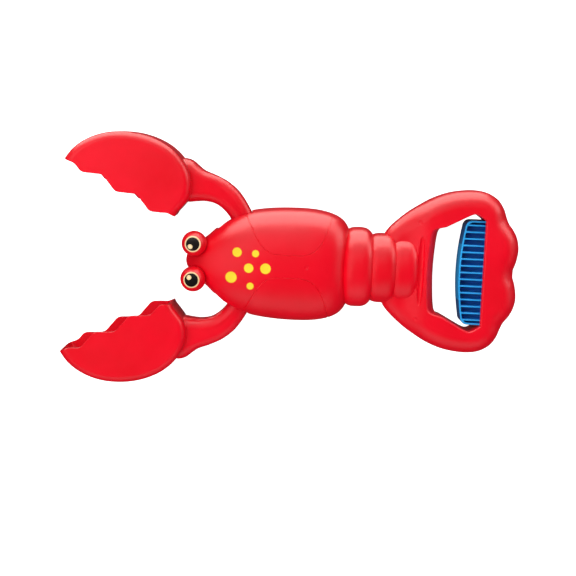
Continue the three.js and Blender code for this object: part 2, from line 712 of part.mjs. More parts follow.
const claw = clawSolid();
for (const side of [1, -1]) {
  const turned = new THREE.Group();
  turned.rotation.x = side > 0 ? 0 : Math.PI;
  const pivot = new THREE.Group();
  pivot.position.set(clawPivot.x, clawPivot.y, 0);
  pivot.rotation.z = -openAngle;
  turned.add(pivot);
  toy.add(turned);
  place(pivot, side > 0 ? "claw_left" : "claw_right", claw, red);
  place(toy, side > 0 ? "eye_left" : "eye_right", eyeSolid(side), polishedRed);
}

place(toy, "trigger", triggerSolid(), blue);
place(toy, "pull_bar", pullBarSolid(), nylon);
place(toy, "return_spring", springSolid(), steel);
for (const { name, x, y, seat } of [...screws, ...pivotScrews]) {
  place(toy, name, screwSolid(), steel).position.set(x, y, seat);
}

export default toy;
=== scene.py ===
import math

import bmesh
import bpy
import numpy as np
from mathutils import Matrix, Vector


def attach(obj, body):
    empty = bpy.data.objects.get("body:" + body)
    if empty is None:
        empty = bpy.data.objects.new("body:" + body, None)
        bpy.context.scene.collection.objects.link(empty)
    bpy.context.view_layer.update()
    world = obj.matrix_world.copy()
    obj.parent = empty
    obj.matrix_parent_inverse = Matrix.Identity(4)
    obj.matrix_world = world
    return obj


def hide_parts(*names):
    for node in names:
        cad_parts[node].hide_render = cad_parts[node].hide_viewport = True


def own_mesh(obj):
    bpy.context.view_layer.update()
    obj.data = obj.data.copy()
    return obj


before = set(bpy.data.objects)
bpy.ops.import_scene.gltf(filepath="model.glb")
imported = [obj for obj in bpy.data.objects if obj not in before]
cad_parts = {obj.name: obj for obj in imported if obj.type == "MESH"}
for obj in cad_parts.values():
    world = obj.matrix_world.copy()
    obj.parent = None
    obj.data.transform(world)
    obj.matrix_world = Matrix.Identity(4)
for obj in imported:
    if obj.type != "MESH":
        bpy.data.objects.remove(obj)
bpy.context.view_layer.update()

# Sizes below are in millimetres about the parting plane of the two shells.
mm = 0.001
partingHeight = 23  # parting plane above the floor
beyond = 300  # past every piece, for blocks that cut
weldReach = 1e-6  # metres within which points are joined
scene = bpy.context.scene
scene.view_settings.view_transform = "Standard"


# Evenly spaced points on a smooth curve through the given ones.
def smoothCurve(points, count):
    p = np.array(points, float)
    n = len(p)
    fine = []
    for i in range(n - 1):
        p0, p1, p2, p3 = p[max(i - 1, 0)], p[i], p[i + 1], p[min(i + 2, n - 1)]
        t = np.linspace(0, 1, 24, endpoint=False)[:, None]
        v0, v1 = (p2 - p0) / 2, (p3 - p1) / 2
        cubic, square = 2 * p1 - 2 * p2 + v0 + v1, 3 * p2 - 3 * p1 - 2 * v0 - v1
        fine.append(cubic * t**3 + square * t**2 + v0 * t + p1)
    fine = np.vstack(fine + [p[-1:]])
    along = np.concatenate([[0], np.cumsum(np.linalg.norm(np.diff(fine, axis=0), axis=1))])
    at = np.linspace(0, along[-1], count)
    return np.stack([np.interp(at, along, fine[:, k]) for k in range(p.shape[1])], 1)


def smoothStep(x, a, b):
    t = np.clip((x - a) / (b - a), 0, 1)
    return t * t * (3 - 2 * t)


def respace(loop, count):
    closed = np.vstack([loop, loop[:1]])
    along = np.concatenate([[0], np.cumsum(np.linalg.norm(np.diff(closed, axis=0), axis=1))])
    at = np.linspace(0, along[-1], count, endpoint=False)
    return np.stack([np.interp(at, along, closed[:, k]) for k in range(2)], 1)


def mirroredLoop(half):
    return np.vstack([half, (half * [1, -1])[::-1]])


def turnsLeft(loop):
    x, y = loop.T
    area = np.sum(x * np.roll(y, -1) - np.roll(x, -1) * y)
    return loop if area > 0 else loop[::-1].copy()


# For a loop that turns left: the direction into it at each point, and the direction along it.
def inwards(loop):
    along = np.roll(loop, -1, 0) - np.roll(loop, 1, 0)
    along /= np.linalg.norm(along, axis=1)[:, None] + 1e-12
    return np.stack([-along[:, 1], along[:, 0]], 1), along


# The loop moved inwards in small steps, each evened out, so that tight bends never fold over.
def insetLoops(loop, depths):
    longest, ease = 0.4, 0.12  # longest step, and how much each step smooths
    p, done, out = loop.copy(), 0.0, []
    for depth in depths:
        steps = max(1, math.ceil(abs(depth - done) / longest))
        for _ in range(steps if depth != done else 0):
            normal, _along = inwards(p)
            p = p + normal * (depth - done) / steps
            for _ in range(2):
                normal, along = inwards(p)
                pull = (np.roll(p, -1, 0) + np.roll(p, 1, 0)) / 2 - p
                slide = np.sum(pull * along, 1)[:, None] * along
                p = p + 0.5 * slide + ease * (pull - slide)
        done = depth
        out.append(p.copy())
    return out


# A mesh from points in millimetres about the parting plane, its faces turned outwards.
def makeObject(name, verts, faces):
    mesh = bpy.data.meshes.new(name)
    mesh.from_pydata(((np.array(verts, float) + [0, 0, partingHeight]) * mm).tolist(), [], faces)
    bm = bmesh.new()
    bm.from_mesh(mesh)
    if bm.calc_volume(signed=True) < 0:
        bmesh.ops.reverse_faces(bm, faces=bm.faces)
    bm.to_mesh(mesh)
    bm.free()
    piece = bpy.data.objects.new(name, mesh)
    scene.collection.objects.link(piece)
    return piece


# Rings of equal count joined in order. An end closes with a flat face, or with a point where one is given.
def stackRings(name, rings, first=None, last=None):
    n = len(rings[0])
    verts = [v for ring in rings for v in ring]
    faces = []
    for k in range(len(rings) - 1):
        for i in range(n):
            j = (i + 1) % n
            faces.append([k * n + i, k * n + j, (k + 1) * n + j, (k + 1) * n + i])
    for point, base, back in ((first, 0, True), (last, (len(rings) - 1) * n, False)):
        ring = [base + i for i in range(n)]
        if point is None:
            faces.append(ring[::-1] if back else ring)
        else:
            tip = len(verts)
            verts.append(point)
            for i in range(n):
                a, b = ring[i], ring[(i + 1) % n]
                faces.append([b, a, tip] if back else [a, b, tip])
    return makeObject(name, verts, faces)


def level(loop, z):
    return np.column_stack([loop, np.full(len(loop), float(z))])


def prism(name, loop, low, high):
    return stackRings(name, [level(loop, low), level(loop, high)])


def block(name, x, y, z):
    loop = np.array([[x[0], y[0]], [x[1], y[0]], [x[1], y[1]], [x[0], y[1]]], float)
    return prism(name, loop, z[0], z[1])


def circle(x, y, radius, sides):
    a = np.arange(sides) * 2 * math.pi / sides
    return np.stack([x + radius * np.cos(a), y + radius * np.sin(a)], 1)


# A closed loop thickened to both sides of the parting plane, its edges rounded off inside the outline.
def pillow(name, loop, halfHeight, rounding, shrink=0.0, steps=9):
    edge = rounding - shrink
    angles = np.linspace(0, math.pi / 2, steps + 1)
    depths = [rounding - edge * math.cos(a) for a in angles]
    heights = [halfHeight - rounding + edge * math.sin(a) for a in angles]
    loops = insetLoops(turnsLeft(loop), depths)
    upper = [level(p, z) for p, z in zip(loops, heights)]
    lower = [level(p, -z) for p, z in zip(loops, heights)]
    return stackRings(name, lower[::-1] + upper)


def tube(name, points, radius, sides=8):
    p = np.array(points, float)
    along = np.gradient(p, axis=0)
    along /= np.linalg.norm(along, axis=1)[:, None]
    side = np.cross(along[0], [0.31, 0.2, 0.93])
    rings = []
    for centre, t in zip(p, along):
        side = side - np.dot(side, t) * t
        side /= np.linalg.norm(side)
        other = np.cross(t, side)
        a = np.arange(sides) * 2 * math.pi / sides
        rings.append(centre + radius * (np.outer(np.cos(a), side) + np.outer(np.sin(a), other)))
    return stackRings(name, rings)


def ball(name, centre, radius, around, along):
    rings = []
    for k in range(1, along):
        t = math.pi * k / along
        a = np.arange(around) * 2 * math.pi / around
        ring = np.stack([np.sin(t) * np.cos(a), np.sin(t) * np.sin(a), np.full(around, -math.cos(t))], 1)
        rings.append(np.array(centre) + radius * ring)
    ends = [np.array(centre) + radius * np.array([0, 0, s]) for s in (-1, 1)]
    return stackRings(name, rings, *ends)


# Joins or cuts with closed meshes, which are used up.
def combine(piece, tools, operation):
    for tool in tools:
        cut = piece.modifiers.new("cut", "BOOLEAN")
        cut.operation, cut.solver, cut.object = operation, "MANIFOLD", tool
        graph = bpy.context.evaluated_depsgraph_get()
        made = bpy.data.meshes.new_from_object(piece.evaluated_get(graph))
        piece.modifiers.clear()
        old, piece.data = piece.data, made
        bpy.data.meshes.remove(old)
        bpy.data.objects.remove(tool)
        if len(made.polygons) < 4:
            raise RuntimeError(f"{piece.name}: {operation} left nothing")
    return piece


# Cuts can leave crumbs of wall behind: only the largest part is kept.
def keepLargest(piece):
    bm = bmesh.new()
    bm.from_mesh(piece.data)
    left, groups = set(bm.verts), []
    while left:
        stack, found = [left.pop()], []
        while stack:
            v = stack.pop()
            found.append(v)
            for e in v.link_edges:
                w = e.other_vert(v)
                if w in left:
                    left.remove(w)
                    stack.append(w)
        groups.append(found)
    groups.sort(key=len)
    for found in groups[:-1]:
        bmesh.ops.delete(bm, geom=found, context="VERTS")
    bm.to_mesh(piece.data)
    bm.free()


def copyOf(piece, name):
    twin = bpy.data.objects.new(name, piece.data.copy())
    scene.collection.objects.link(twin)
    return twin


# Materials, clean shading and the CAD facts: what the piece rides on and the nodes it stands for.
def finishPiece(piece, materials, body, stands, angle=32):
    mesh = piece.data
    picks = [f.material_index for f in mesh.polygons]
    mesh.materials.clear()
    for material in materials:
        mesh.materials.append(material)
    mesh.polygons.foreach_set("material_index", picks)
    bm = bmesh.new()
    bm.from_mesh(mesh)
    bmesh.ops.remove_doubles(bm, verts=bm.verts, dist=weldReach)
    bmesh.ops.dissolve_degenerate(bm, edges=bm.edges, dist=2 * weldReach)
    bm.to_mesh(mesh)
    bm.free()
    mesh.shade_smooth()
    mesh.set_sharp_from_angle(angle=math.radians(angle))
    weigh = piece.modifiers.new("evenShading", "WEIGHTED_NORMAL")  # keeps the flat faces flat
    weigh.keep_sharp, weigh.weight = True, 50
    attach(piece, body)
    if stands:
        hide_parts(*stands)
    return piece


def nodeMaterial(name):
    material = bpy.data.materials.new(name)
    material.use_nodes = True
    nodes, links = material.node_tree.nodes, material.node_tree.links
    return material, nodes, links, nodes["Principled BSDF"]


def noiseNode(nodes, links, coords, scale, detail=3.0, rough=0.5):
    noise = nodes.new("ShaderNodeTexNoise")
    noise.inputs["Scale"].default_value = scale
    noise.inputs["Detail"].default_value = detail
    noise.inputs["Roughness"].default_value = rough
    links.new(coords.outputs["Object"], noise.inputs["Vector"])
    return noise


def rampNode(nodes, links, source, low, high, start=0.35, end=0.65):
    ramp = nodes.new("ShaderNodeValToRGB")
    ramp.color_ramp.elements[0].position, ramp.color_ramp.elements[1].position = start, end
    ramp.color_ramp.elements[0].color = (*low, 1)
    ramp.color_ramp.elements[1].color = (*high, 1)
    links.new(source, ramp.inputs["Fac"])
    return ramp


# Moulded plastic: slow flow mottling in the colour, a fine grain, polish that varies, and hairline scuffs.
def plasticMaterial(name, look):
    material, nodes, links, shader = nodeMaterial(name)
    coords = nodes.new("ShaderNodeTexCoord")
    flow = noiseNode(nodes, links, coords, look["flowScale"], 4.0, 0.55)
    tint = rampNode(nodes, links, flow.outputs["Fac"], look["deep"], look["light"])
    links.new(tint.outputs["Color"], shader.inputs["Base Color"])
    polish = noiseNode(nodes, links, coords, look["polishScale"], 5.0, 0.6)
    spread = nodes.new("ShaderNodeMapRange")
    spread.inputs["From Min"].default_value, spread.inputs["From Max"].default_value = 0.3, 0.7
    spread.inputs["To Min"].default_value, spread.inputs["To Max"].default_value = look["polish"]
    links.new(polish.outputs["Fac"], spread.inputs["Value"])
    links.new(spread.outputs["Result"], shader.inputs["Roughness"])
    grain = noiseNode(nodes, links, coords, look["grainScale"], 2.0, 0.5)
    scuff = noiseNode(nodes, links, coords, look["scuffScale"], 6.0, 0.75)
    wave = noiseNode(nodes, links, coords, look["sagScale"], 1.0, 0.4)
    height = nodes.new("ShaderNodeMath")
    height.operation = "MULTIPLY_ADD"
    height.inputs[1].default_value = look["scuffShare"]
    links.new(scuff.outputs["Fac"], height.inputs[0])
    links.new(grain.outputs["Fac"], height.inputs[2])
    fine = nodes.new("ShaderNodeBump")
    fine.inputs["Strength"].default_value = look["grain"]
    fine.inputs["Distance"].default_value = look["grainDepth"] * mm
    links.new(height.outputs["Value"], fine.inputs["Height"])
    slow = nodes.new("ShaderNodeBump")
    slow.inputs["Strength"].default_value = 1.0
    slow.inputs["Distance"].default_value = look["sagDepth"] * mm
    links.new(wave.outputs["Fac"], slow.inputs["Height"])
    links.new(slow.outputs["Normal"], fine.inputs["Normal"])
    links.new(fine.outputs["Normal"], shader.inputs["Normal"])
    shader.inputs["IOR"].default_value = look["ior"]
    shader.inputs["Specular IOR Level"].default_value = look["specular"]
    return material


redLook = {
    "deep": (0.80, 0.0, 0.010), "light": (0.90, 0.001, 0.016),
    "flowScale": 18, "polishScale": 60, "polish": (0.28, 0.35),
    "grainScale": 2200, "grain": 0.25, "grainDepth": 0.02,
    "scuffScale": 420, "scuffShare": 0.5, "sagScale": 26, "sagDepth": 0.25,
    "ior": 1.49, "specular": 0.5,
}
redPlastic = plasticMaterial("redPlastic", redLook)
redClawPlastic = plasticMaterial("redClawPlastic", {**redLook, "flowScale": 22})
redPolished = plasticMaterial("redPolished", {**redLook, "polish": (0.3, 0.36), "grain": 0.1})
blueLook = {
    "deep": (0.012, 0.36, 0.84), "light": (0.02, 0.41, 0.90),
    "flowScale": 30, "polishScale": 80, "polish": (0.34, 0.44),
    "grainScale": 2600, "grain": 0.2, "grainDepth": 0.02,
    "scuffScale": 500, "scuffShare": 0.5, "sagScale": 30, "sagDepth": 0.1,
    "ior": 1.49, "specular": 0.5,
}
bluePlastic = plasticMaterial("bluePlastic", blueLook)
# Painted shade: a darker blue for the trigger's pocket floors, standing in for the shade inside the
# pockets.
pocketShadeLook = {**blueLook, "deep": (0.010, 0.13, 0.42), "light": (0.014, 0.16, 0.48)}
bluePocketShade = plasticMaterial("bluePocketShade", pocketShadeLook)
nylonLook = {**blueLook, "deep": (0.70, 0.67, 0.58), "light": (0.80, 0.78, 0.70)}
whiteNylon = plasticMaterial("whiteNylon", nylonLook)
inkLook = {
    "flowScale": 60, "polishScale": 200, "polish": (0.42, 0.55),
    "grainScale": 3000, "grain": 0.2, "grainDepth": 0.015,
    "scuffScale": 900, "scuffShare": 0.8, "sagScale": 60, "sagDepth": 0.05,
    "ior": 1.45, "specular": 0.35,
}


def inkMaterial(name, deep, light):
    return plasticMaterial(name, {**inkLook, "deep": deep, "light": light})


yellowInk = inkMaterial("yellowInk", (0.90, 0.66, 0.02), (0.97, 0.76, 0.04))
orangeInk = inkMaterial("orangeInk", (0.75, 0.16, 0.0), (0.85, 0.24, 0.01))
creamInk = inkMaterial("creamInk", (0.90, 0.62, 0.30), (0.96, 0.72, 0.40))
glintInk = inkMaterial("glintInk", (0.92, 0.80, 0.42), (0.98, 0.88, 0.55))
blackInk = inkMaterial("blackInk", (0.004, 0.003, 0.003), (0.010, 0.007, 0.006))


# Plated steel: a stained tint and fine rubbing marks.
def steelMaterial(name, look):
    material, nodes, links, shader = nodeMaterial(name)
    coords = nodes.new("ShaderNodeTexCoord")
    stain = noiseNode(nodes, links, coords, look["stainScale"], 5.0, 0.6)
    tint = rampNode(nodes, links, stain.outputs["Fac"], look["deep"], look["light"])
    links.new(tint.outputs["Color"], shader.inputs["Base Color"])
    rub = noiseNode(nodes, links, coords, look["rubScale"], 3.0, 0.6)
    spread = nodes.new("ShaderNodeMapRange")
    spread.inputs["To Min"].default_value, spread.inputs["To Max"].default_value = look["polish"]
    links.new(rub.outputs["Fac"], spread.inputs["Value"])
    links.new(spread.outputs["Result"], shader.inputs["Roughness"])
    bump = nodes.new("ShaderNodeBump")
    bump.inputs["Distance"].default_value = look["rubDepth"] * mm
    links.new(rub.outputs["Fac"], bump.inputs["Height"])
    links.new(bump.outputs["Normal"], shader.inputs["Normal"])
    shader.inputs["Metallic"].default_value = 1.0
    return material


zincSteel = steelMaterial("zincSteel", {
    "stainScale": 400, "deep": (0.42, 0.42, 0.44), "light": (0.66, 0.66, 0.68),
    "rubScale": 1500, "polish": (0.22, 0.42), "rubDepth": 0.01,
})
print("materials made")

# Body, tail rings and handle are one hollow solid, parted later.
shellShape = {
    "wall": 2.2, "seam": 0.3, "flatBelly": 23.0, "squareness": 2.5,
    "side": [
        (-73.5, 0), (-72.4, 4.6), (-68, 9.6), (-58, 18.3), (-50, 25.6), (-42, 31.4), (-28, 37), (-14, 39.4),
        (0, 40.3), (14, 40.2), (25, 38.8), (34, 35.8), (40, 31), (43.6, 23), (44.7, 12), (45, 0),
    ],
    "top": [
        (-73.5, 0), (-72.4, 5), (-66, 11.5), (-56, 17.5), (-42, 23), (-25, 26.2), (-5, 27.2), (15, 26.8),
        (28, 25), (36, 21.5), (41, 16), (44, 8), (45, 0),
    ],
    "belly": [
        (-73.5, 0), (-72.4, 4), (-66, 10), (-56, 16.5), (-46, 21.5), (-30, 25), (0, 26), (25, 25), (36, 20),
        (42, 12), (45, 0),
    ],
    "rings": [  # middle, length, half width, half height
        (49.5, 27, 28.6, 22.5), (66.5, 26, 25, 20), (82.5, 24, 24, 17.3),
    ],
    "ringBow": 3.0, "ringSquareness": 2.2,
    "fine": {"body": (144, 110), "ring": (120, 64)},  # points around and along, outside
    "coarse": {"body": (48, 40), "ring": (40, 20)},  # and inside
}
handleShape = {
    "halfThickness": 14.0, "rounding": 12.0,
    "outline": [
        (64, 10), (66.5, 21), (70, 28), (76, 34.4), (84, 41.2), (92, 46.6), (101, 51.8), (111, 55.8),
        (121, 57.9), (131, 58.5), (140, 57), (147.5, 52.6), (152, 46.5), (154.4, 40.4), (156.4, 35.8),
        (160, 31), (163, 25), (164.3, 17.5), (163.2, 9), (161.2, 2.8),
    ],
    "opening": [
        (104, 4), (104.5, 14), (105.4, 24), (107, 29.6), (112, 32.6), (120, 36.9), (127, 40.6),
        (130.5, 41.8), (133, 41.2), (136, 39.3), (138.5, 37.6),
    ],
    "lean": 6.2, "leanCurve": 1.6, "leanSpan": (105.6, 6.0), "edgeRound": 1.3,
    "thinning": (0.70, 80.0, 101.0),  # share of the thickness at the last ring, and where it is whole again
    "flatSpan": ((70, 164), (-56, 56)),
    "valleys": [((158, 43), (-0.75, -0.66)), ((158, -43), (-0.75, 0.66)), ((166, 0), (-1, 0))],
    "valleyDepth": 0.16, "valleyWidth": 5.5, "valleyLength": 22.0,
    "trough": {"x": 94.0, "halfWidth": 2.7, "halfLength": 25.0, "depth": 2.5, "level": 0.95, "taper": 0.4},
}


# Half width or height of the body along x, and the same one wall further in.
class Profile:
    def __init__(self, points):
        self.curve = smoothCurve(points, 400)

    def at(self, x):
        return np.interp(x, self.curve[:, 0], self.curve[:, 1])

    def inside(self, thickness):
        along = np.gradient(self.curve, axis=0)
        along /= np.linalg.norm(along, axis=1)[:, None]
        moved = self.curve + thickness * np.stack([along[:, 1], -along[:, 0]], 1)
        first, last = self.curve[0, 0] + thickness, self.curve[-1, 0] - thickness
        kept = [(first, 0.0)]
        for x, y in moved[1:-1]:
            if y > 0 and kept[-1][0] < x < last:
                kept.append((x, y))
        inner = Profile.__new__(Profile)
        inner.curve = np.array(kept + [(last, 0.0)])
        return inner


bodyProfiles = [Profile(shellShape[key]) for key in ("side", "top", "belly")]


# A closed form of rounded-square sections, whose top and belly may differ.
def superLoft(name, side, top, belly, ends, power, around, along):
    rings = []
    for k in range(1, along):
        x = (ends[0] + ends[1]) / 2 - (ends[1] - ends[0]) / 2 * math.cos(math.pi * k / along)
        a = np.arange(around) * 2 * math.pi / around
        c, s = np.cos(a), np.sin(a)
        y = side(x) * np.sign(c) * np.abs(c) ** (2 / power)
        z = np.where(s >= 0, top(x), belly(x)) * np.sign(s) * np.abs(s) ** (2 / power)
        rings.append(np.stack([np.full(around, x), y, z], 1))
    return stackRings(name, rings, (ends[0], 0, 0), (ends[1], 0, 0))


def bodySolid(name, shrink, steps):
    side, top, belly = [p.inside(shrink) if shrink else p for p in bodyProfiles]
    ends = (side.curve[0, 0], side.curve[-1, 0])
    piece = superLoft(name, side.at, top.at, belly.at, ends, shellShape["squareness"], *steps)
    floor = (partingHeight - shellShape["flatBelly"] + shrink) * mm
    for v in piece.data.vertices:
        v.co.z = max(v.co.z, floor)
    return piece


def ringSolid(name, ring, shrink, steps):
    middle, length, halfWidth, halfHeight = ring
    half, bow = length / 2 - shrink, shellShape["ringBow"]

    def reach(size):
        return lambda x: (size - shrink) * (1 - min(abs(x - middle) / half, 1) ** bow) ** (1 / bow)

    height = reach(halfHeight)
    ends = (middle - half, middle + half)
    return superLoft(name, reach(halfWidth), height, height, ends, shellShape["ringSquareness"], *steps)


def bodyHeight(x, y):
    side, top, _belly = bodyProfiles
    power = shellShape["squareness"]
    return top.at(x) * (1 - min(abs(y) / side.at(x), 1) ** power) ** (1 / power)


handleLoop = respace(mirroredLoop(smoothCurve(handleShape["outline"], 200)), 420)
openingLoop = turnsLeft(respace(mirroredLoop(smoothCurve(handleShape["opening"], 120)), 240))


# The finger opening: its front wall leans back from the parting plane, and its edges are eased.
def openingCutter(name, grow=0.0):
    thick, ease = handleShape["halfThickness"], handleShape["edgeRound"]
    above = thick + 4
    turn = np.linspace(0.2, 1.5, 7)  # round the edge
    heights = np.concatenate([np.linspace(0, thick - ease, 8), thick - ease + ease * np.sin(turn), [above]])
    leanStart, leanLength = handleShape["leanSpan"]
    normal, _along = inwards(openingLoop)
    rings = []
    for z in np.concatenate([-heights[:0:-1], heights]):
        over = max(0.0, min(abs(z), thick) - (thick - ease))
        flare = ease - math.sqrt(max(0.0, ease**2 - over**2))
        lean = handleShape["lean"] * (min(abs(z), thick + 1) / (thick + 1)) ** handleShape["leanCurve"]
        fade = 1 - np.clip((openingLoop[:, 0] - leanStart) / leanLength, 0, 1)
        moved = openingLoop - normal * (flare + grow)
        moved[:, 0] -= lean * fade * fade * (3 - 2 * fade)
        rings.append(level(moved, z))
    return stackRings(name, rings)


# The dip between the last ring and the opening, above and below: a rounded groove with tapering ends.
def troughCutter(name, grow=0.0):
    t = handleShape["trough"]
    top = handleShape["halfThickness"] * t["level"]
    wide, half, deep = t["halfWidth"] + grow, t["halfLength"] + grow, t["depth"] + grow
    a = np.arange(32) * 2 * math.pi / 32
    tools = []
    for side in (1, -1):
        rings = []
        for y in half * np.sin(np.linspace(-1.5, 1.5, 41)):
            taper = (1 - (y / half) ** 2) ** t["taper"]
            x, z = t["x"] + wide * taper * np.cos(a), side * top + deep * taper * np.sin(a)
            rings.append(np.stack([x, np.full(len(a), y), z], 1))
        tools.append(stackRings(f"{name}{side}", rings))
    return tools


# How much of its full thickness the handle has at x.
def handleShare(x):
    share, start, end = handleShape["thinning"]
    return share + (1 - share) * smoothStep(x, start, end)


# Cuts the flat top and bottom into a grid, so that they can bend, then thins the handle and presses its
# valleys.
def shapeHandle(piece, spacing):
    bm = bmesh.new()
    bm.from_mesh(piece.data)
    flat = [f for f in bm.faces if len(f.verts) > 4]
    for axis, (start, end) in enumerate(handleShape["flatSpan"]):
        for place in np.arange(start, end, spacing):
            point, normal = [0, 0, 0], [0, 0, 0]
            point[axis], normal[axis] = place * mm, 1
            edges = dict.fromkeys(e for f in flat for e in f.edges)  # a dict keeps its order, run after run
            verts = dict.fromkeys(v for e in edges for v in e.verts)
            cut = bmesh.ops.bisect_plane(
                bm, geom=[*verts, *edges, *flat], plane_co=point, plane_no=normal, dist=weldReach,
            )
            flat = [f for f in cut["geom"] if isinstance(f, bmesh.types.BMFace)]
    bm.to_mesh(piece.data)
    bm.free()
    co = np.zeros(len(piece.data.vertices) * 3)
    piece.data.vertices.foreach_get("co", co)
    co = co.reshape(-1, 3) / mm - [0, 0, partingHeight]
    scale = handleShare(co[:, 0])
    for (x, y), (dx, dy) in handleShape["valleys"]:
        along = (co[:, 0] - x) * dx + (co[:, 1] - y) * dy
        across = (co[:, 0] - x) * dy - (co[:, 1] - y) * dx
        fade = 1 - smoothStep(along, 0, handleShape["valleyLength"])
        scale -= handleShape["valleyDepth"] * fade * np.exp(-((across / handleShape["valleyWidth"]) ** 2))
    co[:, 2] *= scale
    piece.data.vertices.foreach_set("co", ((co + [0, 0, partingHeight]) * mm).ravel())
    return piece


def handleSolid(name, shrink, loop, steps, spacing):
    h = handleShape
    return shapeHandle(pillow(name, loop, h["halfThickness"], h["rounding"], shrink, steps), spacing)


def bodyWithRings(name, shrink, steps, handle):
    body = bodySolid(f"{name}Body", shrink, steps["body"])
    tailRings = [
        ringSolid(f"{name}Ring{i}", ring, shrink, steps["ring"])
        for i, ring in enumerate(shellShape["rings"])
    ]
    combine(body, tailRings + [handle], "UNION")
    cutters = [openingCutter(f"{name}Opening", shrink)] + troughCutter(f"{name}Trough", shrink)
    return combine(body, cutters, "DIFFERENCE")


wall = shellShape["wall"]
outer = bodyWithRings("outer", 0, shellShape["fine"], handleSolid("handle", 0, handleLoop, 14, 2))
innerHandle = handleSolid("innerHandle", wall, respace(handleLoop, 180), 5, 4)
hollow = bodyWithRings("hollow", wall, shellShape["coarse"], innerHandle)
combine(outer, [hollow], "DIFFERENCE")
print("shell body made", len(outer.data.polygons))

# Each claw is a scoop of two toothed plates and a back wall, on a hollow arm with a hub and a lever.
clawShape = {
    "pivot": (-27.0, 15.5), "open": 27.5, "hubRadius": 8.5, "hubHalfHeight": 9.5, "postRadius": 3.5,
    "scoopHalfHeight": 20.5, "scoopRounding": 5.5, "wall": 2.2,
    "tip": -169.5, "heel": -83.0, "edgeEase": 0.55,
    "toothPitch": 27.5, "toothHeight": 5.0, "toothGap": 1.0, "toothTip": -127.0,
    "toothWaves": (0.93, 0.07), "tipFade": (2, 13), "heelFade": (10, 1),  # the teeth fade out at both ends
    "back": [
        (-169.5, 2), (-168.4, 9), (-165.4, 16.6), (-160.4, 24.2), (-153.4, 31.3), (-145, 37), (-135, 41.6),
        (-124, 44.5), (-113, 45.2), (-104, 43.9), (-96.5, 41.1), (-90, 37), (-85, 31.4), (-81.8, 25),
        (-80.4, 19), (-81.2, 13), (-82.6, 7),
    ],
    "armOuter": [
        (-99, 41.5), (-95.5, 43.4), (-91, 44.1), (-85.5, 43), (-80, 42.3), (-71.7, 43.3), (-62, 43.5),
        (-52, 41.4), (-44, 37.6), (-37, 33.2), (-29, 27.4),
    ],
    "armInner": [
        (-35, 12), (-41, 17), (-48, 22), (-54.7, 24.7), (-62, 25.6), (-69, 23.7), (-75, 20.2), (-80, 17),
        (-88, 15.4), (-96, 17), (-102, 22.5), (-104.6, 30), (-103.4, 37),
    ],
    "rootHalfHeight": 8.4, "wristHalfHeight": 12.0, "thinSpan": (-60.0, -34.0), "armRounding": 7.0,
    "solidRoot": 9.0, "lever": (0.3, 4.7), "leverEnd": 5.4, "peg": 2.2, "pegRoom": 0.2,
    "clearance": 0.4,
}
pivot = np.array(clawShape["pivot"])
openTurn = math.radians(clawShape["open"])


def armLoop(count):
    a = np.radians(np.linspace(55, -120, 24))
    hub = np.stack([clawShape["hubRadius"] * np.cos(a), clawShape["hubRadius"] * np.sin(a)], 1) + pivot
    outerEdge = smoothCurve(clawShape["armOuter"], 90)
    innerEdge = smoothCurve(clawShape["armInner"], 90)
    return respace(np.vstack([outerEdge, hub, innerEdge]), count)


def armSolid(name, shrink, count, steps):
    c = clawShape
    arm = pillow(name, armLoop(count), c["wristHalfHeight"], c["armRounding"], shrink, steps)
    a, b = c["thinSpan"]
    thin = 1 - c["rootHalfHeight"] / c["wristHalfHeight"]
    for v in arm.data.vertices:
        t = smoothStep(v.co.x / mm - pivot[0], a, b)
        v.co.z = partingHeight * mm + (v.co.z - partingHeight * mm) * (1 - t * thin)
    return arm


def scoopLoop(count):
    back = smoothCurve(clawShape["back"], 160)
    under = -2.2 * clawShape["scoopRounding"]
    edge = np.array([(back[-1, 0], under), (back[0, 0], under)])
    return respace(np.vstack([back, edge]), count)


# What is cut away along a plate's toothed edge, eased at the plate's outer face.
def toothCutter(name, tip, up):
    c = clawShape
    x = np.linspace(c["tip"] - 5, c["heel"] + 10, 260)
    phase = 2 * math.pi * (x - tip) / c["toothPitch"]
    mean = (c["toothGap"] + c["toothHeight"] / 2) / 2
    first, third = c["toothWaves"]
    wave = mean - c["toothHeight"] / 2 * (first * np.cos(phase) + third * np.cos(3 * phase))
    fromTip = smoothStep(x, c["tip"] + c["tipFade"][0], c["tip"] + c["tipFade"][1])
    toHeel = smoothStep(x, c["heel"] - c["heelFade"][0], c["heel"] + c["heelFade"][1])
    y = c["toothGap"] + (wave - c["toothGap"]) * fromTip
    y = y + (c["toothHeight"] * 0.8 - y) * toHeel
    ease, top = c["edgeEase"], c["scoopHalfHeight"]
    turns = [top - ease + ease * math.sin(t) for t in (0.4, 0.8, 1.2, 1.5)]
    rings = []
    for z in [0.0, top - c["wall"] - 0.1, top - ease, *turns, top + 2]:
        over = max(0.0, min(z, top) - (top - ease))
        flare = ease - math.sqrt(max(0.0, ease**2 - over**2))
        edge = np.stack([x, y + flare], 1)
        low = [(x[-1], -40.0), (x[0], -40.0)]
        rings.append(level(np.vstack([edge, low]), z if up else -z))
    return stackRings(name, rings)


# The outline of a bar with round ends.
def strip(a, b, radius):
    a, b = np.array(a, float), np.array(b, float)
    heading = math.atan2(b[1] - a[1], b[0] - a[0])
    t = np.linspace(0, math.pi, 20)

    def end(centre, start):
        turn = heading + start + t
        return np.stack([centre[0] + radius * np.cos(turn), centre[1] + radius * np.sin(turn)], 1)

    return np.vstack([end(b, -math.pi / 2), end(a, math.pi / 2)])


def turnAbout(piece, place, angle, axis):
    centre = (Vector(place) + Vector((0, 0, partingHeight))) * mm
    turn = Matrix.Translation(centre) @ Matrix.Rotation(angle, 4, axis) @ Matrix.Translation(-centre)
    piece.data.transform(turn)


